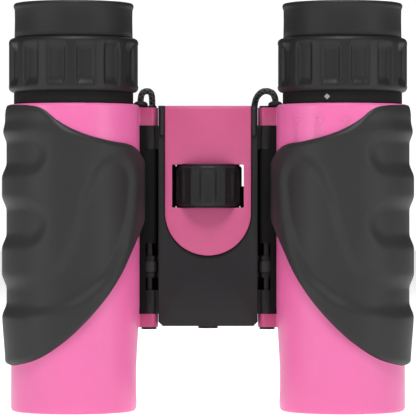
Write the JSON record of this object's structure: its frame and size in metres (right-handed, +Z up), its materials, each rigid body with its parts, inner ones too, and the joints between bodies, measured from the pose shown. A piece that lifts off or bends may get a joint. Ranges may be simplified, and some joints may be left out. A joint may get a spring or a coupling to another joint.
{
  "type": "compact binoculars",
  "caption": "Pink and black folding roof-prism binoculars with double hinge, central focus wheel, dioptre ring, rubber armour and a neck cord",
  "frame": {"origin": "midway between the two objective rims, on the surface they stand on", "axes": "+Z up along the optical axes to the eyepieces, +X to the user's right, underside facing -Y"},
  "size_m": [0.112, 0.0742, 0.1105],
  "materials": {
    "pink_shell": "moulded, satin gloss",
    "pink_plate": "moulded, satin gloss",
    "black_plastic": "moulded, fine texture",
    "armour_rubber": "moulded, matt",
    "soft_rubber": "moulded, matt",
    "eyecup_rubber": "soft, matt",
    "inner_black": "matt black",
    "coated_glass": "anti-reflection coated",
    "prism_glass": "polished",
    "bright_steel": "turned",
    "cast_alloy": "cast",
    "strap_cord": "braided"
  },
  "bodies": {
    "bridge": {"bridge_body": "black_plastic", "cover_plate": "pink_plate", "rear_plate": "black_plastic", "plate_screws": "bright_steel", "hinge_shafts": "bright_steel", "focus_bushes": "black_plastic", "strap_cord_left": "strap_cord", "strap_cord_right": "strap_cord", "strap_coil": "strap_cord", "strap_tie": "black_plastic", "strap_ferrule": "bright_steel"},
    "focus_wheel": {"focus_wheel": "black_plastic", "focus_tyre": "soft_rubber", "focus_screw": "bright_steel"},
    "focus_carriage": {"focus_carriage": "cast_alloy"},
    "left_barrel": {"left_housing": "pink_shell", "left_armour": "armour_rubber", "left_hinge_cover": "black_plastic", "left_strap_lug": "black_plastic", "left_objective_ring": "inner_black", "left_objective_cell": "inner_black", "left_objective_crown": "coated_glass", "left_objective_flint": "coated_glass", "left_prism_cage": "inner_black", "left_roof_prism": "prism_glass", "left_half_prism": "prism_glass", "left_field_stop": "inner_black", "left_eyepiece_tube": "inner_black", "left_ocular_cell": "inner_black", "left_field_lens": "coated_glass", "left_eye_lens": "coated_glass", "left_collar": "black_plastic", "left_grip_ring": "soft_rubber", "left_eyecup": "eyecup_rubber", "strap_loop_left": "strap_cord"},
    "left_focus_cell": {"left_focus_cell": "cast_alloy", "left_focus_lens": "coated_glass"},
    "right_barrel": {"right_housing": "pink_shell", "right_armour": "armour_rubber", "right_hinge_cover": "black_plastic", "right_strap_lug": "black_plastic", "right_objective_ring": "inner_black", "right_objective_cell": "inner_black", "right_objective_crown": "coated_glass", "right_objective_flint": "coated_glass", "right_prism_cage": "inner_black", "right_roof_prism": "prism_glass", "right_half_prism": "prism_glass", "right_field_stop": "inner_black", "right_eyepiece_tube": "inner_black", "strap_loop_right": "strap_cord"},
    "right_focus_cell": {"right_focus_cell": "cast_alloy", "right_focus_lens": "coated_glass"},
    "dioptre_ring": {"right_collar": "black_plastic", "right_grip_ring": "soft_rubber", "right_eyecup": "eyecup_rubber"},
    "right_ocular": {"right_ocular_cell": "inner_black", "right_field_lens": "coated_glass", "right_eye_lens": "coated_glass"}
  },
  "joints": [
    {"name": "left_hinge", "type": "hinge", "parent": "bridge", "child": "left_barrel", "pos_m": [-0.0162, 0.008, 0.05], "axis": [0, 0, 1], "range_deg": [0, 58]},
    {"name": "right_hinge", "type": "hinge", "parent": "bridge", "child": "right_barrel", "pos_m": [0.0162, 0.008, 0.05], "axis": [0, 0, -1], "range_deg": [0, 58]},
    {"name": "focus_turn", "type": "hinge", "parent": "bridge", "child": "focus_wheel", "pos_m": [0, 0.01, 0.061], "axis": [0, 0, 1], "range_deg": [-270, 270]},
    {"name": "carriage_slide", "type": "slide", "parent": "bridge", "child": "focus_carriage", "axis": [0, 0, 1], "range_m": [-0.003, 0.003]},
    {"name": "left_focus_slide", "type": "slide", "parent": "left_barrel", "child": "left_focus_cell", "axis": [0, 0, 1], "range_m": [-0.003, 0.003]},
    {"name": "right_focus_slide", "type": "slide", "parent": "right_barrel", "child": "right_focus_cell", "axis": [0, 0, 1], "range_m": [-0.003, 0.003]},
    {"name": "dioptre_turn", "type": "hinge", "parent": "right_barrel", "child": "dioptre_ring", "pos_m": [0.0365, 0, 0.09], "axis": [0, 0, 1], "range_deg": [-36, 24]},
    {"name": "dioptre_slide", "type": "slide", "parent": "right_barrel", "child": "right_ocular", "axis": [0, 0, 1], "range_m": [-0.0015, 0.001]}
  ],
  "couplings": [
    {"joint": "focus_turn", "follows": "carriage_slide", "rad_per_m": 1570.8},
    {"joint": "left_focus_slide", "follows": "carriage_slide", "ratio": 1},
    {"joint": "right_focus_slide", "follows": "carriage_slide", "ratio": 1},
    {"joint": "dioptre_turn", "follows": "dioptre_slide", "rad_per_m": 418.87}
  ]
}
